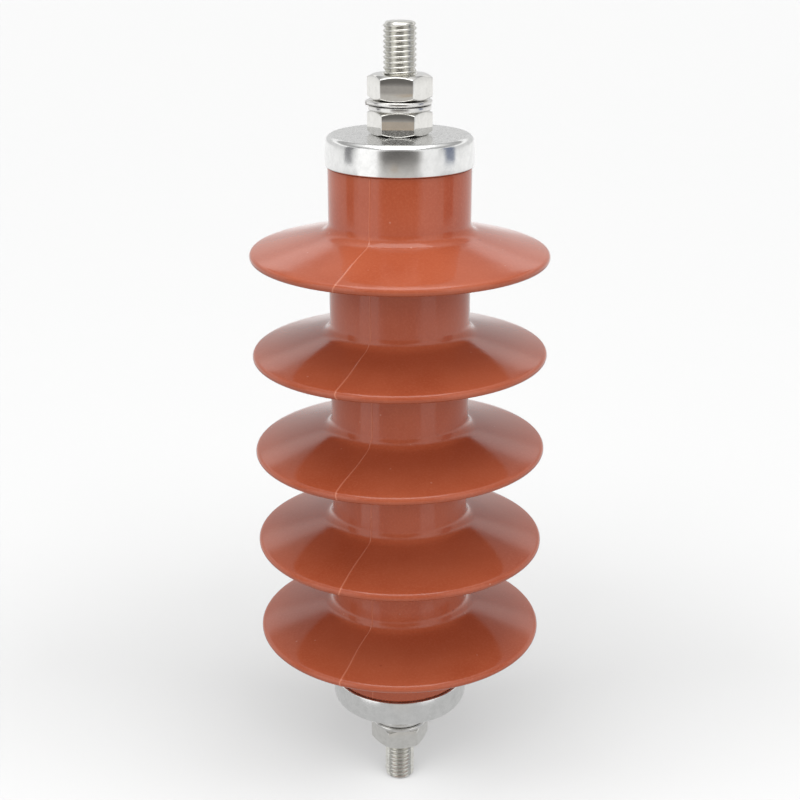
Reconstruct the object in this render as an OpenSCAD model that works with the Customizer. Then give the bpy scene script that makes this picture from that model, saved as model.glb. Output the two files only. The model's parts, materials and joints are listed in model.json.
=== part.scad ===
// Polymer-housed metal-oxide surge arrester, distribution class.
// A stack of varistor blocks sits in a glass-fibre tube inside a one-piece silicone
// rubber housing with five sheds. A metal cap, a stud and terminal hardware close
// each end. Millimetres, +Z up the axis towards the line end. The origin is on the
// axis at the outer face of the earth-end terminal nut, where the free stud begins.

/* [Housing] */
// Outer diameter of the sheds
shed_d = 92; // [76:1:116]
// Thickness of the rubber over the glass-fibre tube, between the sheds
rubber_wall = 3.75; // [2.8:0.05:8]
// Number of sheds
shed_count = 5; // [3:1:6]
// Distance from one shed to the next
shed_pitch = 31.5; // [26:0.1:40]
// Height of the lowest shed's rim above the underside of the earth-end cap
first_shed_h = 28.5; // [24:0.5:40]
// Height of the line-end cap's top above the highest shed's rim
last_shed_h = 36.4; // [30:0.1:46]
// Thickness of a shed at its rim
shed_rim_t = 2.8; // [2:0.1:4]
// Slope of the upper face of a shed, in degrees
shed_top_slope = 14.5; // [8:0.5:20]
// Slope of the lower face of a shed, in degrees
shed_under_slope = 6; // [0:0.5:8]
// Radius of the fillet where a shed's upper face meets the shank
root_fillet_r = 4; // [1.5:0.5:6]

/* [Core] */
// Outer diameter of the glass-fibre tube
tube_d = 36; // [28:0.5:50]
// Wall thickness of the glass-fibre tube
tube_wall = 2.5; // [1.5:0.1:3.5]
// Gap between the varistor blocks and the tube
block_gap = 0.5; // [0.2:0.1:1.5]
// Number of varistor blocks
block_count = 5; // [3:1:6]
// Radius of the rounded glass collar edge on a varistor block
block_edge = 0.6; // [0.2:0.1:1.2]
// Thickness of a contact disc
contact_t = 0.5; // [0.3:0.1:1]
// Thickness of the pressure plate's flange
plate_t = 3; // [2:0.5:5]

/* [Spring] */
// Length of the pressure spring when it is fitted
spring_h = 16.4; // [12:0.1:30]
// Wire diameter of the pressure spring
spring_wire_d = 2.2; // [1.5:0.1:2.8]
// Gap between the pressure spring and the tube
spring_gap = 3.4; // [0.5:0.1:4]
// Number of turns of the pressure spring
spring_turns = 4.5; // [3.5:0.5:6]
// Thickness of the shunt strap that bridges the spring
strap_t = 0.4; // [0.2:0.1:0.8]
// Width of the shunt strap
strap_w = 8; // [5:0.5:10]
// Radius of the bends in the shunt strap
strap_bend_r = 3; // [2:0.5:4]
// Length of a foot of the shunt strap
strap_foot = 8; // [6:0.5:9]

/* [Electrodes] */
// Length of an electrode inside the tube
electrode_len = 24; // [20:0.5:32]
// Depth of the stud's hole in an electrode
stud_hole_depth = 18; // [12:0.5:18]
// Step between an electrode's side and its contact boss under the cap
boss_step = 2.45; // [1:0.05:4]
// Distance from an electrode's inner end to the middle of its O-ring groove
o_ring_inset = 5.3; // [3:0.1:8]
// Room beside the O-ring in its groove
o_ring_room = 0.5; // [0.2:0.1:1]
// Section diameter of the O-ring
o_ring_t = 1.8; // [1.2:0.1:2.2]

/* [End caps] */
// How far an end cap stands proud of the rubber shank
cap_proud = 0.7; // [0:0.05:1]
// Height of an end cap
cap_h = 9.2; // [7:0.1:14]
// Sheet thickness of an end cap
cap_t = 1.2; // [0.8:0.1:1.6]
// Radius of an end cap's outer edge
cap_edge_r = 1.8; // [1:0.1:2.4]
// Radius of an end cap's rolled mouth
cap_mouth_r = 0.6; // [0.3:0.1:0.8]
// Gap between an end cap's mouth and the rubber's shoulder
mouth_gap = 0.3; // [0.1:0.1:1]
// Thickness of the gasket under an end cap
gasket_t = 1.5; // [1:0.1:2.5]

/* [Terminal hardware] */
// Outer diameter of the stud's thread
stud_d = 9.85; // [9.7:0.01:10.2]
// Free length of the stud beyond its terminal nut
free_stud = 15.1; // [8:0.1:30]
// Chamfer at the stud's tip
stud_chamfer = 1; // [0.5:0.1:1.5]
// Width across flats of the nuts
nut_af = 17; // [16:0.5:19]
// Width of a nut's flat end face as a share of its width across flats
nut_face_share = 0.97; // [0.9:0.01:0.98]
// Slope of the chamfer on a nut's corners, in degrees
nut_chamfer_slope = 30; // [15:5:30]
// Height of a nut
nut_h = 7.25; // [5:0.05:10]
// Outer diameter of the flat washer
flat_washer_d = 18.9; // [17:0.1:24]
// Thickness of the flat washer
flat_washer_t = 1.4; // [1:0.1:2.5]
// Outer diameter of the spring washer
spring_washer_d = 20; // [16:0.1:22]
// Thickness of the spring washer
spring_washer_t = 1.6; // [1:0.1:2.8]
// Width of the split in the spring washer
washer_split_w = 1.2; // [0.6:0.1:2]
// Direction of the split in the line-end spring washer, in degrees
line_split_turn = -165; // [-180:5:180]
// Direction of the split in the earth-end spring washer, in degrees
earth_split_turn = 110; // [-180:5:180]
// Turn of the line-end base nut about the axis, in degrees
line_base_turn = -3.7; // [-30:0.1:30]
// Turn of the line-end terminal nut about the axis, in degrees
line_nut_turn = -6.7; // [-30:0.1:30]
// Turn of the earth-end terminal nut about the axis, in degrees
earth_nut_turn = 7.5; // [-30:0.1:30]

/* [Fits] */
// Radial clearance between a stud and what is screwed on it
thread_gap = 0.05; // [0.02:0.01:0.09]
// Radial clearance between pieces pushed into each other
slip_gap = 0.05; // [0.02:0.01:0.15]
// Radial clearance between a washer and the stud
washer_gap = 0.4; // [0.2:0.05:0.6]
// Clearance at the end of a stud in its hole
stud_end_gap = 0.5; // [0.2:0.1:1]

/* [Hidden] */
$fn = 96;
eps = 0.01;

// Heights along the axis, from the earth end up
earth_stack_h = 2 * nut_h + flat_washer_t + spring_washer_t;
earth_cap_z = earth_stack_h;
body_len = first_shed_h + (shed_count - 1) * shed_pitch + last_shed_h;
line_cap_z = earth_cap_z + body_len;
core_end_h = cap_t + gasket_t;
tube_len = body_len - 2 * core_end_h;
cavity_z0 = earth_cap_z + core_end_h + electrode_len;
cavity_len = tube_len - 2 * electrode_len;

// Radii
shed_r = shed_d / 2;
tube_r = tube_d / 2;
shank_r = tube_r + rubber_wall;
tube_bore_r = tube_r - tube_wall;
block_r = tube_bore_r - block_gap;
electrode_r = tube_bore_r - slip_gap;
boss_r = electrode_r - boss_step;
spring_wire_r = spring_wire_d / 2;
spring_mean_r = tube_bore_r - spring_gap - spring_wire_r;
cap_r = shank_r + cap_proud;
cap_bore_r = cap_r - cap_t;
collar_r = cap_bore_r - slip_gap;
stud_r = stud_d / 2;
thread_bore_r = stud_r + thread_gap;
washer_bore_r = stud_r + washer_gap;

// The blocks and discs fill what the pressure plate and the spring leave of the cavity
stack_h = cavity_len - plate_t - spring_h;
block_h = (stack_h - (block_count + 1) * contact_t) / block_count;
plate_z = cavity_z0 + stack_h;
spring_z0 = plate_z + plate_t;
plate_boss_h = spring_wire_d;

// A shallow ring groove inside the terminal nut marks where the free stud begins
groove_w = 0.6;
groove_depth = 0.3;

// Depth of the countersink at each end of a nut's bore
countersink = 0.6;

BLOCKS = [for (i = [1:block_count]) str("varistor_block_", i)];
DISCS = [for (i = [1:block_count + 1]) str("contact_disc_", i)];

// Places a piece drawn upwards from the line-end cap's top face
module at_line_end() {
    translate([0, 0, line_cap_z]) children();
}

// Places the same piece at the earth end, pointing down
module at_earth_end() {
    translate([0, 0, earth_cap_z]) mirror([0, 0, 1]) children();
}

// ---- Housing ----

// Half section of one shed: a rounded rim, two sloping faces and a root fillet
module shed_section() {
    rim_r = shed_rim_t / 2;
    rim_x = shed_r - rim_r;
    top_rise = (rim_x - shank_r) * tan(shed_top_slope) + rim_r / cos(shed_top_slope);
    under_rise = (rim_x - shank_r) * tan(shed_under_slope) - rim_r / cos(shed_under_slope);
    inside = shank_r - tube_r;
    fillet_x = shank_r + root_fillet_r;
    fillet_z = (rim_x - fillet_x) * tan(shed_top_slope)
        + (rim_r + root_fillet_r) / cos(shed_top_slope);
    touch_x = fillet_x - root_fillet_r * sin(shed_top_slope);
    touch_z = fillet_z - root_fillet_r * cos(shed_top_slope);
    union() {
        translate([rim_x, 0]) circle(r = rim_r);
        polygon([
            [shank_r - inside / 2, under_rise],
            [shank_r, under_rise],
            [rim_x - rim_r * sin(shed_under_slope), -rim_r * cos(shed_under_slope)],
            [rim_x, 0],
            [rim_x + rim_r * sin(shed_top_slope), rim_r * cos(shed_top_slope)],
            [shank_r, top_rise],
            [shank_r - inside / 2, top_rise],
        ]);
        difference() {
            polygon([
                [shank_r - inside / 2, fillet_z],
                [shank_r - inside / 2, top_rise - inside],
                [shank_r, top_rise - inside / 2],
                [touch_x, touch_z],
                [fillet_x, fillet_z],
            ]);
            translate([fillet_x, fillet_z]) circle(r = root_fillet_r);
        }
    }
}

module silicone_housing() {
    shoulder_h = cap_h + mouth_gap;
    color([0.72, 0.3, 0.18]) rotate_extrude() difference() {
        union() {
            translate([0, earth_cap_z + shoulder_h])
                square([shank_r, body_len - 2 * shoulder_h]);
            translate([0, earth_cap_z + core_end_h])
                square([collar_r, tube_len]);
            for (i = [0:shed_count - 1])
                translate([0, earth_cap_z + first_shed_h + i * shed_pitch]) shed_section();
        }
        translate([0, earth_cap_z]) square([tube_r + slip_gap, body_len]);
    }
}

// ---- Core ----

module glass_fibre_tube() {
    color([0.78, 0.74, 0.5]) translate([0, 0, earth_cap_z + core_end_h]) difference() {
        cylinder(h = tube_len, r = tube_r);
        translate([0, 0, -eps]) cylinder(h = tube_len + 2 * eps, r = tube_bore_r);
    }
}

// Height of the underside of block i, counted from 1 at the earth end
function block_z(i) = cavity_z0 + i * contact_t + (i - 1) * block_h;

module varistor_block(i) {
    color([0.2, 0.22, 0.24]) translate([0, 0, block_z(i)]) rotate_extrude() polygon([
        [0, 0],
        [block_r - block_edge, 0],
        [block_r, block_edge],
        [block_r, block_h - block_edge],
        [block_r - block_edge, block_h],
        [0, block_h],
    ]);
}

module contact_disc(i) {
    color([0.8, 0.8, 0.82]) translate([0, 0, block_z(i) - contact_t])
        cylinder(h = contact_t, r = block_r - block_edge);
}

module pressure_plate() {
    spigot_r = spring_mean_r - spring_wire_r - slip_gap;
    color([0.75, 0.76, 0.78]) translate([0, 0, plate_z]) {
        cylinder(h = plate_t, r = block_r);
        cylinder(h = plate_t + plate_boss_h, r = spigot_r);
    }
}

// Sweeps a round wire along a helix whose first and last turns lie close
module helix(mean_r, wire_r, h, turns, sides = 10, per_turn = 20) {
    rings = ceil(turns * per_turn);
    close_turns = 0.75;
    close_lead = 2.1 * wire_r;
    rise = h - 2 * wire_r;
    close_rise = close_lead * close_turns;
    open_turns = turns - 2 * close_turns;
    function lift(t) = t < close_turns ? close_rise * t / close_turns
        : t > turns - close_turns ? rise - close_rise * (turns - t) / close_turns
        : close_rise + (rise - 2 * close_rise) * (t - close_turns) / open_turns;
    points = [for (k = [0:rings]) let (t = turns * k / rings) for (j = [0:sides - 1])
        let (out = mean_r + wire_r * cos(360 * j / sides))
        [out * cos(360 * t), out * sin(360 * t), wire_r + lift(t)
            + wire_r * sin(360 * j / sides)]];
    walls = [for (k = [0:rings - 1]) for (j = [0:sides - 1]) let (n = (j + 1) % sides)
        [k * sides + j, (k + 1) * sides + j, (k + 1) * sides + n, k * sides + n]];
    ends = [[for (j = [0:sides - 1]) j], [for (j = [sides - 1:-1:0]) rings * sides + j]];
    polyhedron(points, concat(walls, ends), convexity = 10);
}

module pressure_spring() {
    color([0.6, 0.6, 0.62]) translate([0, 0, spring_z0 + eps])
        helix(spring_mean_r, spring_wire_r, spring_h - 2 * eps, spring_turns);
}

// A copper strip bent like a C inside the spring, from the pressure plate to the electrode
module shunt_strap() {
    gap_h = spring_h - plate_boss_h;
    back_x = strap_bend_r - strap_foot;
    module bend() {
        intersection() {
            difference() {
                circle(r = strap_bend_r);
                circle(r = strap_bend_r - strap_t);
            }
            translate([-strap_bend_r, -strap_bend_r]) square(strap_bend_r);
        }
    }
    color([0.75, 0.42, 0.25])
        translate([strap_foot / 2, strap_w / 2, spring_z0 + plate_boss_h]) rotate([90, 0, 0])
        linear_extrude(height = strap_w) union() {
            translate([back_x, 0]) square([-back_x, strap_t]);
            translate([back_x, strap_bend_r]) bend();
            translate([back_x - strap_bend_r, strap_bend_r])
                square([strap_t, gap_h - 2 * strap_bend_r]);
            translate([back_x, gap_h - strap_bend_r]) mirror([0, 1]) bend();
            translate([back_x, gap_h - strap_t]) square([-back_x, strap_t]);
        }
}

// ---- Electrodes and seals, drawn upwards from the cap's top face ----

groove_r = tube_bore_r - o_ring_t - 2 * slip_gap;
groove_h = o_ring_t + o_ring_room;
groove_below = core_end_h + electrode_len - o_ring_inset;

module electrode() {
    color([0.8, 0.8, 0.82]) difference() {
        union() {
            translate([0, 0, -core_end_h]) cylinder(h = gasket_t, r = boss_r);
            translate([0, 0, -core_end_h - electrode_len])
                cylinder(h = electrode_len, r = electrode_r);
        }
        translate([0, 0, -cap_t - stud_hole_depth])
            cylinder(h = stud_hole_depth + eps, r = thread_bore_r);
        translate([0, 0, -groove_below - groove_h / 2]) difference() {
            cylinder(h = groove_h, r = electrode_r + 1);
            translate([0, 0, -eps]) cylinder(h = groove_h + 2 * eps, r = groove_r);
        }
    }
}

module o_ring() {
    color([0.1, 0.1, 0.1]) translate([0, 0, -groove_below]) rotate_extrude()
        translate([(groove_r + tube_bore_r) / 2, 0]) circle(d = o_ring_t);
}

module gasket() {
    color([0.55, 0.14, 0.1]) translate([0, 0, -core_end_h]) difference() {
        cylinder(h = gasket_t, r = collar_r);
        translate([0, 0, -eps])
            cylinder(h = gasket_t + 2 * eps, r = boss_r + slip_gap);
    }
}

// ---- End caps ----

module end_cap() {
    color([0.78, 0.79, 0.8]) rotate_extrude() difference() {
        union() {
            translate([0, -cap_h + cap_mouth_r]) square([cap_r, cap_h - cap_mouth_r - cap_edge_r]);
            translate([0, -cap_edge_r]) square([cap_r - cap_edge_r, cap_edge_r]);
            translate([cap_r - cap_edge_r, -cap_edge_r]) circle(r = cap_edge_r);
            translate([0, -cap_h]) square([cap_r - cap_mouth_r, cap_mouth_r + eps]);
            translate([cap_r - cap_mouth_r, -cap_h + cap_mouth_r]) circle(r = cap_mouth_r);
        }
        translate([-eps, -cap_h - 1]) square([cap_bore_r + eps, cap_h + 1 - cap_t]);
        translate([-eps, -2 * cap_t]) square([thread_bore_r + eps, 3 * cap_t]);
    }
}

// ---- Terminal hardware, drawn upwards from the cap's top face ----

terminal_z = nut_h + flat_washer_t + spring_washer_t;
free_z = terminal_z + nut_h;

module stud() {
    bottom = -cap_t - stud_hole_depth + stud_end_gap;
    tip = free_z + free_stud;
    color([0.66, 0.66, 0.67]) rotate_extrude() difference() {
        polygon([
            [0, bottom],
            [stud_r - stud_chamfer, bottom],
            [stud_r, bottom + stud_chamfer],
            [stud_r, tip - stud_chamfer],
            [stud_r - stud_chamfer, tip],
            [0, tip],
        ]);
        translate([stud_r - groove_depth, free_z - groove_w])
            square([groove_depth + 1, groove_w]);
    }
}

// A hexagon with chamfered corners and a countersunk bore at both ends
module nut(turn) {
    corner_r = nut_af / 2 / cos(30);
    face_r = nut_af / 2 * nut_face_share;
    chamfer_h = (corner_r - face_r) * tan(nut_chamfer_slope);
    sink_r = thread_bore_r + countersink;
    rotate([0, 0, turn]) difference() {
        intersection() {
            cylinder(h = nut_h, r = corner_r, $fn = 6);
            rotate_extrude() polygon([
                [0, 0],
                [face_r, 0],
                [corner_r, chamfer_h],
                [corner_r + 1, chamfer_h],
                [corner_r + 1, nut_h - chamfer_h],
                [corner_r, nut_h - chamfer_h],
                [face_r, nut_h],
                [0, nut_h],
            ]);
        }
        translate([0, 0, -eps]) cylinder(h = nut_h + 2 * eps, r = thread_bore_r);
        translate([0, 0, -eps])
            cylinder(h = countersink + eps, r1 = sink_r + eps, r2 = thread_bore_r);
        translate([0, 0, nut_h - countersink])
            cylinder(h = countersink + eps, r1 = thread_bore_r, r2 = sink_r + eps);
    }
}

module base_nut(turn) {
    color([0.72, 0.72, 0.73]) nut(turn);
}

module terminal_nut(turn) {
    color([0.72, 0.72, 0.73]) translate([0, 0, terminal_z]) nut(turn);
}

module flat_washer() {
    color([0.76, 0.76, 0.77]) translate([0, 0, nut_h]) difference() {
        cylinder(h = flat_washer_t, d = flat_washer_d);
        translate([0, 0, -eps]) cylinder(h = flat_washer_t + 2 * eps, r = washer_bore_r);
    }
}

module spring_washer(split_turn) {
    color([0.7, 0.7, 0.71]) translate([0, 0, nut_h + flat_washer_t]) difference() {
        cylinder(h = spring_washer_t, d = spring_washer_d);
        translate([0, 0, -eps]) cylinder(h = spring_washer_t + 2 * eps, r = washer_bore_r);
        rotate([0, 0, split_turn]) translate([0, -washer_split_w / 2, -eps])
            cube([spring_washer_d, washer_split_w, spring_washer_t + 2 * eps]);
    }
}

silicone_housing();
glass_fibre_tube();
pressure_plate();
pressure_spring();
shunt_strap();
at_line_end() electrode();  // line_electrode
at_earth_end() electrode();  // earth_electrode
at_line_end() o_ring();  // line_o_ring
at_earth_end() o_ring();  // earth_o_ring
at_line_end() gasket();  // line_gasket
at_earth_end() gasket();  // earth_gasket
at_line_end() end_cap();  // line_end_cap
at_earth_end() end_cap();  // earth_end_cap
at_line_end() stud();  // line_stud
at_earth_end() stud();  // earth_stud
at_line_end() base_nut(line_base_turn);  // line_base_nut
at_earth_end() base_nut(0);  // earth_base_nut
at_line_end() flat_washer();  // line_flat_washer
at_earth_end() flat_washer();  // earth_flat_washer
at_line_end() spring_washer(line_split_turn);  // line_spring_washer
at_earth_end() spring_washer(earth_split_turn);  // earth_spring_washer
at_line_end() terminal_nut(line_nut_turn);  // line_terminal_nut
at_earth_end() terminal_nut(earth_nut_turn);  // earth_terminal_nut
for (i = [1:block_count])
    varistor_block(i);
for (i = [1:block_count + 1])
    contact_disc(i);
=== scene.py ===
"""A polymer-housed surge arrester: silicone rubber body, metal end caps, studs, nuts and washers."""
import json
import math

import bmesh
import bpy
from mathutils import Matrix, Vector


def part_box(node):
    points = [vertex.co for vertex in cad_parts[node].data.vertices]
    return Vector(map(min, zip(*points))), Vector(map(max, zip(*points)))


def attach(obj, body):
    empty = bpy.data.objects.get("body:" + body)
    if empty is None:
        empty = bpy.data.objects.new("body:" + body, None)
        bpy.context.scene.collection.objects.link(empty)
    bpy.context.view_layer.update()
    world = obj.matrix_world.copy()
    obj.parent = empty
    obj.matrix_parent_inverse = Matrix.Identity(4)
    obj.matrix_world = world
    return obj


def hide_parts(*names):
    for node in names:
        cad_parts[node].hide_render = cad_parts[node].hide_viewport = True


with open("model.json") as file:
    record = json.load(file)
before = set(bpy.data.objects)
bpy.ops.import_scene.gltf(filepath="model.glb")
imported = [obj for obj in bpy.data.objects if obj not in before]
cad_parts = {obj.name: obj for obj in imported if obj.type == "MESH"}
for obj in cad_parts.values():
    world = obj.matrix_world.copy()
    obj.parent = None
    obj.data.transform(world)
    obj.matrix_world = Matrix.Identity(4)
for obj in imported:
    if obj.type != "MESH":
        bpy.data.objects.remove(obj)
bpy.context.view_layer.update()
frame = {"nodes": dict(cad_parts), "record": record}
MM = 0.001
SCENE = bpy.context.scene


# ---------------------------------------------------------------- sizes in metres, read from the frame

def span(node):
    """A node's largest radius about the axis, and its lowest and highest height."""
    low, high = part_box(node)
    return max(high.x, high.y), low.z, high.z


CAP_R, LINE_MOUTH, LINE_CAP_TOP = span("line_end_cap")
_, EARTH_CAP_TOP, EARTH_MOUTH = span("earth_end_cap")
SHED_R = span("silicone_housing")[0]
STUD_R, _, LINE_TIP = span("line_stud")
EARTH_TIP = span("earth_stud")[1]
TUBE_R, TUBE_LOW, TUBE_HIGH = span("glass_fibre_tube")
NUT_H = span("line_base_nut")[2] - span("line_base_nut")[1]
FLOOR_Z = EARTH_TIP


# ---------------------------------------------------------------- outlines and lathe work

def arc(centre, radius, start, end, steps):
    """Points along an arc in the (radius, height) plane, angles in degrees."""
    turns = [math.radians(start + (end - start) * k / steps) for k in range(steps + 1)]
    return [(centre[0] + radius * math.cos(t), centre[1] + radius * math.sin(t)) for t in turns]


def line(start, end, steps):
    """Points along a straight stretch, its ends included."""
    return [tuple(a + (b - a) * k / steps for a, b in zip(start, end)) for k in range(steps + 1)]


def tidy_outline(points):
    """Drops points that repeat the one before."""
    kept = [points[0]]
    for p in points[1:]:
        if math.dist(p, kept[-1]) > 0.002 * MM:
            kept.append(p)
    return kept


def lathe(outline, sectors, closed=False, first_angle=-90.0, lead=0.0):
    """A bmesh made by spinning an outline about the axis, through sectors of (degrees, steps)."""
    bm = bmesh.new()
    verts = [bm.verts.new((r, 0, z)) for r, z in tidy_outline(outline)]
    rim = verts + ([verts[0]] if closed else [])
    edges = [bm.edges.new(pair) for pair in zip(rim, rim[1:])]
    bmesh.ops.rotate(bm, verts=verts, cent=(0, 0, 0),
                     matrix=Matrix.Rotation(math.radians(first_angle), 3, "Z"))
    geom = verts + edges
    for degrees, steps in sectors:
        spun = bmesh.ops.spin(bm, geom=geom, cent=(0, 0, 0), axis=(0, 0, 1),
                              dvec=(0, 0, lead * degrees / 360 / steps),
                              angle=math.radians(degrees), steps=steps, use_duplicate=False)
        geom = spun["geom_last"]
    bmesh.ops.remove_doubles(bm, verts=bm.verts, dist=0.001 * MM)
    bmesh.ops.recalc_face_normals(bm, faces=bm.faces)
    return bm


def piece(name, bm, body, node, material, sharp=30.0):
    """Turns a bmesh into a finished object that stands for a CAD node."""
    mesh = bpy.data.meshes.new(name)
    bm.to_mesh(mesh)
    bm.free()
    mesh.shade_smooth()
    mesh.set_sharp_from_angle(angle=math.radians(sharp))
    obj = bpy.data.objects.new(name, mesh)
    SCENE.collection.objects.link(obj)
    mesh.materials.append(material)
    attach(obj, body)
    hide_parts(node)


# ---------------------------------------------------------------- shader groups

def new_group(name, inputs, outputs):
    """An empty shader node group with its sockets."""
    group = bpy.data.node_groups.new(name, "ShaderNodeTree")
    for label, kind, value in inputs:
        socket = group.interface.new_socket(label, in_out="INPUT", socket_type="NodeSocket" + kind)
        if value is not None:
            socket.default_value = value
    for label, kind in outputs:
        group.interface.new_socket(label, in_out="OUTPUT", socket_type="NodeSocket" + kind)
    return group, group.nodes.new("NodeGroupInput"), group.nodes.new("NodeGroupOutput")


def math_node(tree, operation, a, b=None, clamp=False):
    """A Math node's result, fed by sockets or numbers."""
    node = tree.nodes.new("ShaderNodeMath")
    node.operation = operation
    node.use_clamp = clamp
    for slot, value in zip(node.inputs, (a, b)):
        if value is None:
            continue
        if isinstance(value, (int, float)):
            slot.default_value = value
        else:
            tree.links.new(value, slot)
    return node.outputs[0]


def ramp(tree, value, low, high, out_low=0.0, out_high=1.0):
    """Maps a value from one range to another, clamped and smoothed."""
    node = tree.nodes.new("ShaderNodeMapRange")
    node.interpolation_type = "SMOOTHSTEP"
    for label, number in (("From Min", low), ("From Max", high), ("To Min", out_low), ("To Max", out_high)):
        node.inputs[label].default_value = number
    tree.links.new(value, node.inputs["Value"])
    return node.outputs["Result"]


def mix_colour(tree, factor, first, second):
    """A mix of two colours, each a socket or a plain colour, by a socket."""
    node = tree.nodes.new("ShaderNodeMix")
    node.data_type = "RGBA"
    for slot, value in ((node.inputs[0], factor), (node.inputs[6], first), (node.inputs[7], second)):
        if isinstance(value, tuple):
            slot.default_value = value + (1.0,)
        else:
            tree.links.new(value, slot)
    return node.outputs[2]


def noise(tree, vector, scale, detail=3.0, roughness=0.5, stretch=None):
    """A Noise texture's value, its scale in features per metre."""
    if stretch is not None:
        mapping = tree.nodes.new("ShaderNodeMapping")
        mapping.inputs["Scale"].default_value = stretch
        tree.links.new(vector, mapping.inputs["Vector"])
        vector = mapping.outputs[0]
    node = tree.nodes.new("ShaderNodeTexNoise")
    tree.links.new(vector, node.inputs["Vector"])
    node.inputs["Scale"].default_value = scale
    node.inputs["Detail"].default_value = detail
    node.inputs["Roughness"].default_value = roughness
    return node.outputs["Fac"]


def build_specks():
    """A mask of sparse round specks, in a share of the cells."""
    tree, given, out = new_group(
        "specks",
        [("Vector", "Vector", None), ("Scale", "Float", 300.0), ("Share", "Float", 0.2)],
        [("Mask", "Float")])
    cells = tree.nodes.new("ShaderNodeTexVoronoi")
    tree.links.new(given.outputs["Vector"], cells.inputs["Vector"])
    tree.links.new(given.outputs["Scale"], cells.inputs["Scale"])
    dot = ramp(tree, cells.outputs["Distance"], 0.06, 0.14, 1.0, 0.0)
    pick = tree.nodes.new("ShaderNodeSeparateColor")
    tree.links.new(cells.outputs["Color"], pick.inputs[0])
    chosen = math_node(tree, "LESS_THAN", pick.outputs[0], given.outputs["Share"])
    tree.links.new(math_node(tree, "MULTIPLY", dot, chosen), out.inputs["Mask"])
    return tree


def build_metal_grain():
    """Turned and handled metal: a roughness with smudges, a tint and a height for fine scratches."""
    tree, given, out = new_group(
        "metal_grain",
        [("Vector", "Vector", None), ("Base Roughness", "Float", 0.2), ("Wear", "Float", 0.5)],
        [("Roughness", "Float"), ("Tint", "Float"), ("Height", "Float")])
    vector = given.outputs["Vector"]
    smudge = noise(tree, vector, 140.0, 4.0, 0.6)
    fine = noise(tree, vector, 1500.0, 2.0, 0.5, stretch=(1.0, 1.0, 6.0))
    rough = math_node(tree, "MULTIPLY", ramp(tree, smudge, 0.35, 0.7), given.outputs["Wear"])
    rough = math_node(tree, "MULTIPLY", rough, 0.16)
    rough = math_node(tree, "ADD", rough, given.outputs["Base Roughness"], clamp=True)
    tree.links.new(rough, out.inputs["Roughness"])
    tree.links.new(ramp(tree, noise(tree, vector, 420.0, 5.0, 0.65), 0.3, 0.75), out.inputs["Tint"])
    tree.links.new(fine, out.inputs["Height"])
    return tree


GROUPS = {"specks": build_specks(), "metal_grain": build_metal_grain()}


def use(tree, group, **values):
    """Places a shader group and feeds its inputs with numbers or sockets."""
    node = tree.nodes.new("ShaderNodeGroup")
    node.node_tree = GROUPS[group]
    for key, value in values.items():
        slot = node.inputs[key.replace("_", " ")]
        if isinstance(value, (int, float)):
            slot.default_value = value
        else:
            tree.links.new(value, slot)
    return node.outputs


def new_material(name, colour, metallic=0.0, roughness=0.5):
    """A material with a Principled shader, and its object coordinates."""
    made = bpy.data.materials.new(name)
    made.use_nodes = True
    tree = made.node_tree
    shader = tree.nodes["Principled BSDF"]
    shader.inputs["Base Color"].default_value = colour + (1.0,)
    shader.inputs["Metallic"].default_value = metallic
    shader.inputs["Roughness"].default_value = roughness
    made.diffuse_color = colour + (1.0,)
    return made, tree, shader, tree.nodes.new("ShaderNodeTexCoord").outputs["Object"]


def bump(tree, shader, height, distance):
    """Feeds a height, times a distance in metres, into the shader's normal."""
    node = tree.nodes.new("ShaderNodeBump")
    node.inputs["Strength"].default_value = 1.0
    node.inputs["Distance"].default_value = distance
    tree.links.new(height, node.inputs["Height"])
    tree.links.new(node.outputs["Normal"], shader.inputs["Normal"])


# ---------------------------------------------------------------- materials

RUBBER_FLAT, RUBBER_DEEP, RUBBER_PALE = (0.43, 0.075, 0.03), (0.39, 0.08, 0.033), (0.44, 0.102, 0.046)
# The darkest rubber colour is painted shade for tiny pit marks.
RUBBER_SKIN, RUBBER_DUST, RUBBER_PIT_SHADE = (0.52, 0.15, 0.075), (0.62, 0.36, 0.26), (0.2, 0.03, 0.015)
# The parting line's pale colour is a painted highlight on its ridge.
RUBBER_SEAM_HIGHLIGHT = (0.7, 0.27, 0.17)


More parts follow.
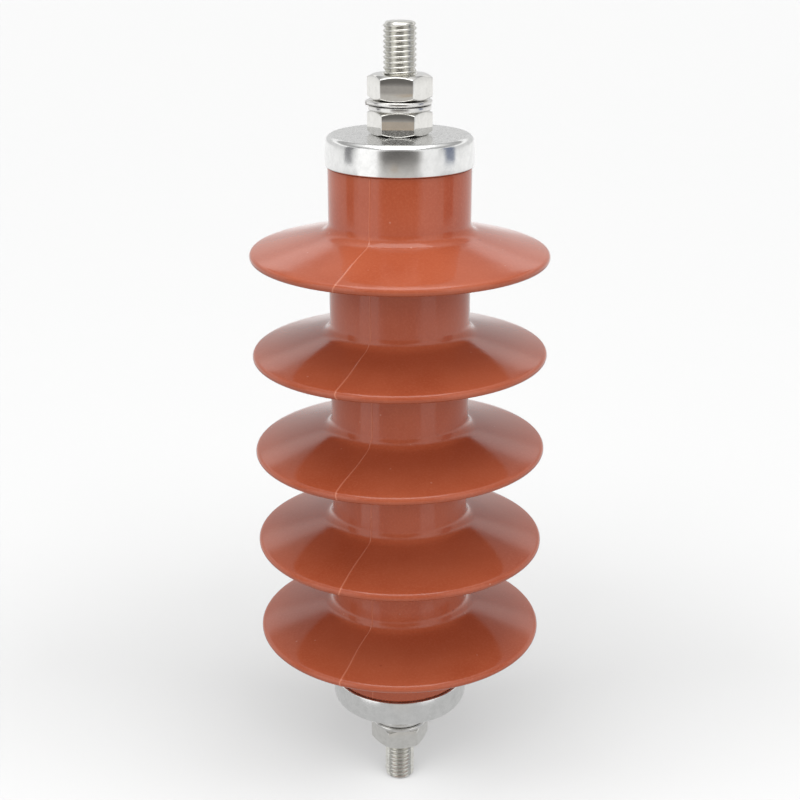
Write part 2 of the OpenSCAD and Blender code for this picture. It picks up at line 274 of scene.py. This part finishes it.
def silicone_rubber():
    """Brick-orange moulded silicone: satin grainy skin, specks of dust, dark specks of painted shade for
    tiny pit marks, and a parting line paled by a painted highlight.
    """
    made, tree, shader, where = new_material("silicone_rubber", RUBBER_FLAT, 0.0, 0.3)
    patch = noise(tree, where, 38.0, 3.0, 0.5)
    flow = noise(tree, where, 260.0, 4.0, 0.6)
    body = mix_colour(tree, ramp(tree, patch, 0.3, 0.7), RUBBER_DEEP, RUBBER_PALE)
    skin = noise(tree, where, 1300.0, 3.0, 0.7)
    body = mix_colour(tree, ramp(tree, skin, 0.4, 0.75, 0.0, 0.3), body, RUBBER_SKIN)
    dust = use(tree, "specks", Vector=where, Scale=330.0, Share=0.10)["Mask"]
    body = mix_colour(tree, math_node(tree, "MULTIPLY", dust, 0.35), body, RUBBER_DUST)
    # Dark specks in a few cells: painted shade of tiny pit marks, which get no relief of their own.
    pit_shade = use(tree, "specks", Vector=where, Scale=170.0, Share=0.05)["Mask"]
    body = mix_colour(tree, math_node(tree, "MULTIPLY", pit_shade, 0.5), body, RUBBER_PIT_SHADE)
    seam = tree.nodes.new("ShaderNodeAttribute")
    seam.attribute_name = "seam"
    # Along the parting line the colour is mixed towards a pale orange: a painted highlight on the seam's
    # ridge.
    body = mix_colour(tree, math_node(tree, "MULTIPLY", seam.outputs["Fac"], 0.6), body, RUBBER_SEAM_HIGHLIGHT)
    tree.links.new(body, shader.inputs["Base Color"])
    tree.links.new(ramp(tree, flow, 0.3, 0.75, 0.07, 0.13), shader.inputs["Roughness"])
    shader.inputs["IOR"].default_value = 1.5
    height = math_node(tree, "ADD", math_node(tree, "MULTIPLY", skin, 0.8),
                       math_node(tree, "MULTIPLY", flow, 0.6))
    bump(tree, shader, height, 0.016 * MM)
    return made


def worked_metal(name, colour, dark, roughness, wear, relief, mottled=False):
    """Steel with smudges, tint and fine scratches, its relief in mm, and mottled flat ends where asked."""
    made, tree, shader, where = new_material(name, colour, 1.0, roughness)
    grain = use(tree, "metal_grain", Vector=where, Base_Roughness=roughness, Wear=wear)
    body = mix_colour(tree, grain["Tint"], colour, dark)
    rough, height = grain["Roughness"], grain["Height"]
    if mottled:
        facing = tree.nodes.new("ShaderNodeSeparateXYZ")
        tree.links.new(tree.nodes.new("ShaderNodeNewGeometry").outputs["Normal"], facing.inputs[0])
        flat = ramp(tree, math_node(tree, "ABSOLUTE", facing.outputs["Z"]), 0.9, 0.99)
        pocks = ramp(tree, noise(tree, where, 1400.0, 2.0, 0.6), 0.42, 0.6)
        pocks = math_node(tree, "MULTIPLY", pocks, flat)
        body = mix_colour(tree, pocks, body, tuple(0.84 * part for part in dark))
        rough = math_node(tree, "ADD", math_node(tree, "MULTIPLY", pocks, 0.2), rough)
        height = math_node(tree, "SUBTRACT", height, math_node(tree, "MULTIPLY", pocks, 1.2))
    tree.links.new(body, shader.inputs["Base Color"])
    tree.links.new(rough, shader.inputs["Roughness"])
    bump(tree, shader, height, relief * MM)
    return made


def plain_stuff(name, colour, other, metallic, roughness, scale, relief):
    """An inner piece's material: two tones mixed by noise, and a light relief in mm."""
    made, tree, shader, where = new_material(name, colour, metallic, roughness)
    grain = noise(tree, where, scale, 4.0, 0.6)
    tree.links.new(mix_colour(tree, ramp(tree, grain, 0.35, 0.7), colour, other),
                   shader.inputs["Base Color"])
    tree.links.new(ramp(tree, grain, 0.3, 0.7, roughness * 0.85, roughness * 1.15),
                   shader.inputs["Roughness"])
    bump(tree, shader, grain, relief * MM)
    return made


RUBBER = silicone_rubber()
CAP_METAL = worked_metal("cap_steel", (0.87, 0.87, 0.86), (0.78, 0.78, 0.77), 0.15, 0.35, 0.004,
                         mottled=True)
NUT_METAL = worked_metal("nut_steel", (0.82, 0.81, 0.78), (0.74, 0.73, 0.70), 0.06, 0.25, 0.002)
STUD_METAL = worked_metal("stud_steel", (0.76, 0.75, 0.70), (0.64, 0.63, 0.59), 0.2, 0.5, 0.002)
WASHER_METAL = worked_metal("washer_steel", (0.82, 0.81, 0.79), (0.70, 0.69, 0.67), 0.2, 0.5, 0.003)


# ---------------------------------------------------------------- rubber housing

SHED_COUNT = 5
RIM_T = 2.8 * MM
TOP_SLOPE, UNDER_SLOPE = 14.5, 6.0              # degrees
TOP_FILLET, UNDER_FILLET = 4.0 * MM, 2.0 * MM
LOWEST_RIM = EARTH_CAP_TOP + 28.5 * MM
HIGHEST_RIM = LINE_CAP_TOP - 36.4 * MM
PITCH = (HIGHEST_RIM - LOWEST_RIM) / (SHED_COUNT - 1)
SHANK_R = CAP_R - 0.7 * MM
COLLAR_R = CAP_R - 1.25 * MM
SHOULDER = 0.3 * MM                             # the rounding of the shank's ends, under the caps
SLIP = 0.05 * MM                                # the play round the tube and the studs
SEAM_ANGLE, SEAM_W, SEAM_H = -113.8, 0.75, 0.09 * MM    # degrees, half width in degrees, height
SHED_LEAN = (-0.2, -0.2, 0.63, 0.32, -0.23)     # degrees, down to the left, the lowest shed first


def shed_outline(z):
    """One shed, from the shank below it, round the rim, to the shank above it."""
    rim_r = RIM_T / 2
    rim_x = SHED_R - rim_r
    top, under = math.radians(TOP_SLOPE), math.radians(UNDER_SLOPE)
    under_x = SHANK_R + UNDER_FILLET
    under_z = z + (rim_x - under_x) * math.tan(under) - (rim_r + UNDER_FILLET) / math.cos(under)
    top_x = SHANK_R + TOP_FILLET
    top_z = z + (rim_x - top_x) * math.tan(top) + (rim_r + TOP_FILLET) / math.cos(top)
    points = arc((under_x, under_z), UNDER_FILLET, 180, 90 - UNDER_SLOPE, 5)
    rim = arc((rim_x, z), rim_r, -90 - UNDER_SLOPE, 90 - TOP_SLOPE, 12)
    points += line(points[-1], rim[0], 8) + rim
    root = arc((top_x, top_z), TOP_FILLET, 270 - TOP_SLOPE, 180, 7)
    return points + line(rim[-1], root[0], 10) + root


def housing_outline():
    """The whole rubber body's outline, bore included."""
    bore = TUBE_R + SLIP
    low_shoulder, high_shoulder = EARTH_MOUTH + SHOULDER, LINE_MOUTH - SHOULDER
    points = [(bore, TUBE_LOW), (COLLAR_R, TUBE_LOW), (COLLAR_R, low_shoulder)]
    points += arc((SHANK_R - SHOULDER, low_shoulder + SHOULDER), SHOULDER, -90, 0, 3)
    for k in range(SHED_COUNT):
        points += shed_outline(LOWEST_RIM + k * PITCH)
    points += arc((SHANK_R - SHOULDER, high_shoulder - SHOULDER), SHOULDER, 0, 90, 3)
    return points + [(COLLAR_R, high_shoulder), (COLLAR_R, TUBE_HIGH), (bore, TUBE_HIGH)]


def silicone_housing():
    """The moulded rubber body, with a parting line that wanders a little and sheds that lean a little."""
    half = 180 - 2 * SEAM_W
    sectors = [(SEAM_W, 3), (half, 96), (2 * SEAM_W, 6), (half, 96), (SEAM_W, 3)]
    bm = lathe(housing_outline(), sectors, closed=True, first_angle=SEAM_ANGLE)
    bm.normal_update()
    seam = bm.verts.layers.float.new("seam")
    for vert in bm.verts:
        reach = math.hypot(vert.co.x, vert.co.y)
        if reach < COLLAR_R + 0.1 * MM:
            continue
        from_seam = abs((math.degrees(math.atan2(vert.co.y, vert.co.x)) - SEAM_ANGLE + 90) % 180 - 90)
        vert[seam] = max(0.0, 1 - from_seam / (SEAM_W * 0.7))
        vert.co += vert.normal * SEAM_H * vert[seam]
        shed = min(range(SHED_COUNT), key=lambda k: abs(LOWEST_RIM + k * PITCH + 2 * MM - vert.co.z))
        flap = max(0.0, reach - SHANK_R - TOP_FILLET) / (SHED_R - SHANK_R - TOP_FILLET)
        wander = 0.5 * math.sin(vert.co.z * 330) + 0.35 * math.sin(vert.co.z * 1050 + 1)
        vert.co.rotate(Matrix.Rotation(math.radians(wander), 3, "Z"))
        vert.co.z += flap * vert.co.x * math.tan(math.radians(SHED_LEAN[shed]))
    piece("housing_rubber", bm, "arrester", "silicone_housing", RUBBER)


# ---------------------------------------------------------------- end caps

CAP_SHEET, CAP_EDGE, CAP_LIP = 1.2 * MM, 2.0 * MM, 0.35 * MM
CAP_INNER_CORNER = 0.5 * MM
CAP_LEAN, CAP_LEANING_WALL, CAP_WIDEST = 7.0, 5.0 * MM, 4.6 * MM     # degrees; height; depth below the edge


def cap_outline(top, out):
    """A pressed cap: flat top, rolled edge, wall that leans in towards the edge, and rolled mouth."""
    sheet, edge, lip = CAP_SHEET, CAP_EDGE, CAP_LIP
    lean = math.radians(CAP_LEAN)
    depth = LINE_CAP_TOP - LINE_MOUTH
    hole = STUD_R + SLIP
    barrel = CAP_LEANING_WALL / math.sin(lean)
    wall = arc((CAP_R - barrel, -edge - CAP_WIDEST), barrel, CAP_LEAN, 0, 8)
    shift = wall[0][0] - (CAP_R - edge + edge * math.cos(lean))
    roll = arc((CAP_R - edge + shift, wall[0][1] - edge * math.sin(lean)), edge, 90, CAP_LEAN, 10)
    rise = -roll[0][1]
    roll, wall = ([(r, z + rise) for r, z in part] for part in (roll, wall))
    points = [(hole, -sheet), (hole, 0.0)]
    points += line((hole, 0.0), roll[0], 4) + roll + wall[1:]
    points += arc((CAP_R - lip, -depth + lip), lip, 0, -90, 6)
    points += [(CAP_R - sheet, -depth), (CAP_R - sheet, -sheet - CAP_INNER_CORNER)]
    points += arc((CAP_R - sheet - CAP_INNER_CORNER, -sheet - CAP_INNER_CORNER), CAP_INNER_CORNER,
                  0, 90, 3)
    return [(r, top + out * z) for r, z in points]


def end_cap(end, top, out):
    """A polished metal cap."""
    bm = lathe(cap_outline(top, out), [(360, 128)], closed=True)
    piece(f"{end}_cap_pressing", bm, "arrester", f"{end}_end_cap", CAP_METAL)


# ---------------------------------------------------------------- threads, nuts, washers

STUD_LENGTH = 51.3 * MM
THREAD_PITCH, THREAD_DEPTH = 1.5 * MM, 0.64 * MM
THREAD_STEPS = 40                               # a turn
# One turn of the thread's section: shares of the pitch and of the depth
THREAD_SHAPE = ((0.0, 0.0), (0.06, 0.03), (0.14, 0.16), (0.3, 0.55), (0.42, 0.86), (0.49, 0.97),
                (0.56, 1.0), (0.63, 0.97), (0.7, 0.86), (0.82, 0.55), (0.94, 0.16), (1.0, 0.0))
TIP_INSET, TIP_HEIGHT = 1.7 * MM, 1.5 * MM      # the rounding of a stud's tip


def threaded_stud(end, tip, out):
    """A stud with a real helical thread and a rounded tip."""
    low, high = sorted((tip, tip - out * STUD_LENGTH))
    turns = math.ceil((high - low) / THREAD_PITCH) + 2
    root, start = STUD_R - THREAD_DEPTH, low - THREAD_PITCH
    section = [(root + (STUD_R - root) * share, start + along * THREAD_PITCH)
               for along, share in THREAD_SHAPE]
    bm = lathe(section, [(360 * turns, THREAD_STEPS * turns)], lead=THREAD_PITCH)
    for cut, normal in ((low, (0, 0, -1)), (high, (0, 0, 1))):
        bmesh.ops.bisect_plane(bm, geom=bm.verts[:] + bm.edges[:] + bm.faces[:], plane_co=(0, 0, cut),
                               plane_no=normal, clear_outer=True, dist=0.001 * MM)
        loop = [e for e in bm.edges if e.is_boundary and all(abs(v.co.z - cut) < 0.01 * MM for v in e.verts)]
        bmesh.ops.contextual_create(bm, geom=loop)
    for vert in bm.verts:
        depth = abs(tip - vert.co.z)
        limit = STUD_R - TIP_INSET * (1 - math.sqrt(max(0.0, 1 - (1 - depth / TIP_HEIGHT) ** 2)))
        reach = math.hypot(vert.co.x, vert.co.y)
        if depth < TIP_HEIGHT and reach > limit:
            vert.co.x *= limit / reach
            vert.co.y *= limit / reach
    bmesh.ops.recalc_face_normals(bm, faces=bm.faces)
    piece(f"{end}_stud_thread", bm, "arrester", f"{end}_stud", STUD_METAL, 40)


def hexagon_reach(angle, half_flat, corner):
    """Distance from the axis to a hexagon with rounded corners, at an angle from a corner."""
    away = math.radians(abs((angle + 30) % 60 - 30))
    centre = (half_flat - corner) / math.cos(math.radians(30))
    touch = math.atan2(corner * 0.5, centre + corner * math.cos(math.radians(30)))
    if away >= touch:
        return half_flat / math.cos(math.radians(30) - away)
    return centre * math.cos(away) + math.sqrt(corner ** 2 - (centre * math.sin(away)) ** 2)


NUT_HALF_FLAT, NUT_CORNER, NUT_BEVEL = 8.5 * MM, 0.35 * MM, 0.26 * MM
NUT_FACE_R, NUT_FACE_SOFT, NUT_SINK = 8.2 * MM, 0.2 * MM, 0.6 * MM
CHAMFER_SLOPE = math.tan(math.radians(30))
CHAMFER_RING, SIDE_RING = 12 * MM, 20 * MM      # radii that mark the points to draw in to the hexagon
# Degrees and steps of a sixth of a turn, fine at the corner in its middle
NUT_SECTORS = [(23.5, 4), (3, 1), (3.5, 7), (3.5, 7), (3, 1), (23.5, 4)]


def hexagon_nut(end, kind, body, turn):
    """A chamfered hexagon nut with soft edges, its corners turned by an angle about the axis."""
    bore = STUD_R + SLIP
    upper = [(bore, NUT_H / 2), (bore, NUT_H - NUT_SINK), (bore + NUT_SINK, NUT_H),
             (NUT_FACE_R - NUT_FACE_SOFT, NUT_H)]
    upper += arc((NUT_FACE_R - NUT_FACE_SOFT, NUT_H - NUT_FACE_SOFT), NUT_FACE_SOFT, 90, 60, 2)
    upper += [(CHAMFER_RING, NUT_H - (CHAMFER_RING - NUT_FACE_R) * CHAMFER_SLOPE)]
    upper += [(SIDE_RING, NUT_H * 0.62), (SIDE_RING, NUT_H / 2)]
    lower = [(r, NUT_H - h) for r, h in reversed(upper)][1:-1]
    bm = lathe(upper + lower, NUT_SECTORS * 6, closed=True, first_angle=turn - 30)
    for vert in bm.verts:
        reach = math.hypot(vert.co.x, vert.co.y)
        if reach < CHAMFER_RING - 1.5 * MM:
            continue
        angle = math.degrees(math.atan2(vert.co.y, vert.co.x)) - turn
        hexagon = hexagon_reach(angle, NUT_HALF_FLAT, NUT_CORNER)
        if reach < CHAMFER_RING + 3 * MM:
            drop = (hexagon - NUT_FACE_R) * CHAMFER_SLOPE
            vert.co.z = NUT_H - drop if vert.co.z > NUT_H / 2 else drop
        vert.co.x *= hexagon / reach
        vert.co.y *= hexagon / reach
    bmesh.ops.translate(bm, verts=bm.verts, vec=(0, 0, span(f"{end}_{kind}")[1]))
    bmesh.ops.remove_doubles(bm, verts=bm.verts, dist=0.001 * MM)
    edges = [e for e in bm.edges if len(e.link_faces) == 2 and e.calc_face_angle(0) > math.radians(16)
             and min(math.hypot(v.co.x, v.co.y) for v in e.verts) > NUT_FACE_R + 0.05 * MM]
    bmesh.ops.bevel(bm, geom=edges, offset=NUT_BEVEL, affect="EDGES", segments=4, profile=0.5, material=-1,
                    offset_type="OFFSET", clamp_overlap=True)
    piece(f"{end}_{kind}_hexagon", bm, body, f"{end}_{kind}", NUT_METAL, 24)


WASHER_PLAY = 0.4 * MM


def ring_outline(inner, outer, low, high, soft):
    """A flat ring's section with rounded corners."""
    points = []
    for (r, z), start in (((outer - soft, high - soft), 90), ((outer - soft, low + soft), 0),
                          ((inner + soft, low + soft), -90), ((inner + soft, high - soft), -180)):
        points += arc((r, z), soft, start, start - 90, 4)
    return points


def flat_washer(end):
    """A plain washer with a rolled edge."""
    node = f"{end}_flat_washer"
    outer, low, high = span(node)
    bm = lathe(ring_outline(STUD_R + WASHER_PLAY, outer, low, high, 0.3 * MM), [(360, 96)], closed=True)
    piece(f"{node}_ring", bm, f"{end}_washers", node, WASHER_METAL)


def spring_washer(end, split, lift, aside):
    """A split ring that winds down by a lift from one cut end to the other, a little off the axis."""
    node = f"{end}_spring_washer"
    outer, low, high = span(node)
    gap = 7.0
    section = ring_outline(STUD_R + WASHER_PLAY - abs(aside) * 0.5, outer, low + lift, high, 0.35 * MM)
    bm = lathe(section, [(360 - gap, 88)], closed=True, first_angle=split + gap / 2,
               lead=-lift * 360 / (360 - gap))
    bmesh.ops.holes_fill(bm, edges=[e for e in bm.edges if e.is_boundary], sides=0)
    bmesh.ops.translate(bm, verts=bm.verts, vec=(aside, 0, 0))
    bmesh.ops.recalc_face_normals(bm, faces=bm.faces)
    piece(f"{node}_ring", bm, f"{end}_washers", node, WASHER_METAL)


# ---------------------------------------------------------------- inner pieces keep their CAD shape

INNER = {slot: plain_stuff(slot, *values) for slot, *values in (
    ("glass_fibre", (0.52, 0.45, 0.2), (0.62, 0.56, 0.32), 0.0, 0.35, 600, 0.02),
    ("zinc_oxide", (0.07, 0.075, 0.08), (0.12, 0.125, 0.13), 0.0, 0.6, 900, 0.02),
    ("contact_metal", (0.8, 0.8, 0.82), (0.7, 0.7, 0.72), 1.0, 0.35, 700, 0.005),
    ("electrode_alloy", (0.76, 0.77, 0.78), (0.66, 0.67, 0.68), 1.0, 0.4, 500, 0.01),
    ("spring_steel", (0.5, 0.5, 0.5), (0.38, 0.37, 0.36), 1.0, 0.35, 800, 0.005),
    ("copper", (0.80, 0.42, 0.27), (0.66, 0.31, 0.19), 1.0, 0.35, 500, 0.005),
    ("seal_rubber", (0.02, 0.02, 0.02), (0.03, 0.03, 0.03), 0.0, 0.6, 700, 0.01),
    ("gasket_rubber", (0.32, 0.06, 0.035), (0.27, 0.05, 0.03), 0.0, 0.6, 700, 0.01),
)}
SLOT_OF = {entry["node"]: entry["material_slot"] for entry in frame["record"]["subparts"]}


def dress_inner_pieces():
    """Gives every CAD node that keeps its own mesh the material of its slot."""
    for name, obj in frame["nodes"].items():
        if SLOT_OF[name] in INNER:
            obj.data.materials.clear()
            obj.data.materials.append(INNER[SLOT_OF[name]])


# ---------------------------------------------------------------- studio

CAMERA_AWAY, CAMERA_ABOVE_MIDDLE = 0.4176, 0.1661       # metres
CAMERA_PITCH, CAMERA_SHIFT = 19.88, 0.0003              # degrees down; share of the picture
FOCAL_MM, SENSOR_MM = 62.8, 36
MIDDLE_Z = (LOWEST_RIM + HIGHEST_RIM) / 2
HARDWARE_Z = (span("line_base_nut")[1] + span("line_terminal_nut")[2]) / 2

# Lamps: name, and degrees to the right of the front
TABLE_SUNS = (("table_far_left", -62), ("table_left", -31), ("table_middle", 0),
              ("table_right", 31), ("table_far_right", 62))
FRONT_SUNS = (("front_left", -28), ("front_right", 28))
# Cards: name, side angles, elevations, distance in metres, colour
CARDS = (
    ("left_reflector", (-68, -34), (-30, 35), 2.4, (1.2, 1.2, 1.2)),
    ("right_reflector", (35, 61), (-30, 35), 2.4, (1.0, 1.0, 1.0)),
    ("left_gap", (-92, -76), (-8.5, 26), 2.5, (0.2, 0.2, 0.21)),
    ("right_gap", (72, 92), (-8, 26), 2.5, (0.15, 0.18, 0.26)),
    ("paper_box", (-13, -3), (-13, -8.3), 2.3, (0.5, 0.425, 0.35)),
)
FLOOR_COLOUR, FLOOR_GLOW, FLOOR_SIZE = (0.15, 0.15, 0.15), 0.24, 8
# The surroundings' brightness straight down, and its changes on the way up: from and to a height of the
# direction (-1 down, 1 up), and by how much
GROUND = 0.55
DOME_STEPS = ((-0.36, -0.2, 0.45), (-0.12, 0.05, -0.28), (0.33, 0.41, 0.4), (0.475, 0.535, -0.72),
              (0.65, 0.92, 0.7))
# What the camera itself sees behind the object
BACKDROP = 0.965
WHITE = (1.0, 1.0, 1.0)


def place_camera():
    """A camera in front of the object, a little above it, looking down."""
    data = bpy.data.cameras.new("studio_camera")
    data.lens = FOCAL_MM
    data.sensor_width = SENSOR_MM
    data.shift_x = CAMERA_SHIFT
    data.clip_start = 0.01
    camera = bpy.data.objects.new("studio_camera", data)
    camera.location = (0, -CAMERA_AWAY, MIDDLE_Z + CAMERA_ABOVE_MIDDLE)
    camera.rotation_euler = (math.radians(90 - CAMERA_PITCH), 0, 0)
    SCENE.collection.objects.link(camera)
    SCENE.camera = camera


def towards(side, up):
    """A direction from its angle to the right of the front, and its elevation."""
    side, up = math.radians(side), math.radians(up)
    return Vector((math.cos(up) * math.sin(side), -math.cos(up) * math.cos(side), math.sin(up)))


def distant_light(name, side, up, strength, spread, only=None):
    """A large, soft, distant light with its spread in degrees, kept to one object where only= gives it."""
    data = bpy.data.lights.new(name, "SUN")
    data.energy = strength
    data.angle = math.radians(spread)
    lamp = bpy.data.objects.new(name, data)
    lamp.rotation_euler = towards(side, up).to_track_quat("Z", "Y").to_euler()
    lamp.visible_glossy = False
    SCENE.collection.objects.link(lamp)
    if only is not None:
        lit = bpy.data.collections.new(name + "_lights")
        lit.objects.link(only)
        lamp.light_linking.receiver_collection = lit


def card(name, sides, ups, away, shade):
    """A plain glowing card that only reflections see, between two side angles and two elevations."""
    bm = bmesh.new()
    bmesh.ops.create_grid(bm, x_segments=1, y_segments=1, size=0.5)
    middle = towards(sum(sides) / 2, sum(ups) / 2)
    wide = 2 * math.tan(math.radians(sides[1] - sides[0]) / 2) * away
    high = 2 * math.tan(math.radians(ups[1] - ups[0]) / 2) * away
    facing = (-middle).to_track_quat("Z", "Y").to_matrix().to_4x4()
    place = Matrix.Translation(middle * away + Vector((0, 0, HARDWARE_Z)))
    bmesh.ops.transform(bm, matrix=place @ facing @ Matrix.Diagonal((wide, high, 1, 1)), verts=bm.verts)
    mesh = bpy.data.meshes.new(name)
    bm.to_mesh(mesh)
    bm.free()
    made = bpy.data.materials.new(name)
    made.use_nodes = True
    tree = made.node_tree
    tree.nodes.clear()
    glow = tree.nodes.new("ShaderNodeEmission")
    glow.inputs["Color"].default_value = shade + (1,)
    tree.links.new(glow.outputs[0], tree.nodes.new("ShaderNodeOutputMaterial").inputs["Surface"])
    mesh.materials.append(made)
    obj = bpy.data.objects.new(name, mesh)
    obj.visible_camera = False
    obj.visible_diffuse = False
    obj.visible_shadow = False
    SCENE.collection.objects.link(obj)


def studio_floor():
    """A wide plain floor that glows a little by itself and isn't seen in reflections."""
    bm = bmesh.new()
    bmesh.ops.create_grid(bm, x_segments=1, y_segments=1, size=FLOOR_SIZE)
    bmesh.ops.translate(bm, verts=bm.verts, vec=(0, 0, FLOOR_Z))
    mesh = bpy.data.meshes.new("studio_floor")
    bm.to_mesh(mesh)
    bm.free()
    made, _, shader, _ = new_material("studio_floor", FLOOR_COLOUR, 0.0, 0.9)
    shader.inputs["Specular IOR Level"].default_value = 0.0
    shader.inputs["Emission Color"].default_value = (1, 1, 1, 1)
    shader.inputs["Emission Strength"].default_value = FLOOR_GLOW
    mesh.materials.append(made)
    floor = bpy.data.objects.new("studio_floor", mesh)
    floor.visible_diffuse = False
    floor.visible_glossy = False
    SCENE.collection.objects.link(floor)
    return floor


def studio_world():
    """Surroundings in bands of brightness, with a dim room in front and a plain backdrop for the camera."""
    world = bpy.data.worlds.new("studio_world")
    world.use_nodes = True
    tree = world.node_tree
    where = tree.nodes.new("ShaderNodeTexCoord")
    split = tree.nodes.new("ShaderNodeSeparateXYZ")
    tree.links.new(where.outputs["Generated"], split.inputs[0])
    height = split.outputs["Z"]
    dome = GROUND
    for low, high, step in DOME_STEPS:
        dome = math_node(tree, "ADD", ramp(tree, height, low, high, 0.0, step), dome)
    in_front = ramp(tree, math_node(tree, "MULTIPLY", split.outputs["Y"], -1.0), 0.8, 0.92)
    room = ramp(tree, height, -0.22, -0.02, 0.58, 0.15)
    room = math_node(tree, "SUBTRACT", room, ramp(tree, height, -0.62, -0.45, 0.08, 0.0))
    room = math_node(tree, "ADD", room, ramp(tree, height, 0.35, 0.8, 0.0, 0.8))
    warm = mix_colour(tree, ramp(tree, height, -0.2, -0.05), (1.0, 0.97, 0.93), (1.0, 0.96, 0.92))
    shade = mix_colour(tree, in_front, WHITE, warm)
    glow = tree.nodes.new("ShaderNodeMix")
    tree.links.new(in_front, glow.inputs[0])
    tree.links.new(dome, glow.inputs[2])
    tree.links.new(room, glow.inputs[3])
    seen = tree.nodes.new("ShaderNodeLightPath").outputs["Is Camera Ray"]
    backdrop = tree.nodes.new("ShaderNodeMix")
    tree.links.new(seen, backdrop.inputs[0])
    tree.links.new(glow.outputs[0], backdrop.inputs[2])
    backdrop.inputs[3].default_value = BACKDROP
    background = tree.nodes["Background"]
    tree.links.new(backdrop.outputs[0], background.inputs["Strength"])
    tree.links.new(mix_colour(tree, seen, shade, WHITE), background.inputs["Color"])
    SCENE.world = world


def softbox(name, place, aim, size, watts):
    """A square area light at a place, aimed at a point."""
    data = bpy.data.lights.new(name, "AREA")
    data.size = size
    data.energy = watts
    lamp = bpy.data.objects.new(name, data)
    lamp.location = place
    lamp.rotation_euler = (Vector(place) - Vector(aim)).to_track_quat("Z", "Y").to_euler()
    SCENE.collection.objects.link(lamp)


def light_studio(floor):
    """The surroundings, soft lights for the floor and the object, and cards for it to mirror."""
    SCENE.view_settings.view_transform = "Standard"
    studio_world()
    for name, side in TABLE_SUNS:
        distant_light(name, side, 46, 3.4, 26, only=floor)
    for name, side in FRONT_SUNS:
        distant_light(name, side, 20, 0.6, 40)
    softbox("top_softbox", place=(0, -0.1, 0.64), aim=(0, 0, 0.12), size=0.45, watts=1.2)
    for values in CARDS:
        card(*values)


# ---------------------------------------------------------------- build

place_camera()
light_studio(studio_floor())
silicone_housing()
dress_inner_pieces()
for end, cap_top, tip, out in (("line", LINE_CAP_TOP, LINE_TIP, 1),
                               ("earth", EARTH_CAP_TOP, EARTH_TIP, -1)):
    end_cap(end, cap_top, out)
    threaded_stud(end, tip, out)
    flat_washer(end)
for end, kind, body, turn in (("line", "base_nut", "arrester", -3.7),
                              ("line", "terminal_nut", "line_nut", -6.7),
                              ("earth", "base_nut", "arrester", 0.0),
                              ("earth", "terminal_nut", "earth_nut", 7.5)):
    hexagon_nut(end, kind, body, turn)
spring_washer("line", split=-165, lift=0.45 * MM, aside=-0.3 * MM)
spring_washer("earth", split=110, lift=0.3 * MM, aside=0.0)
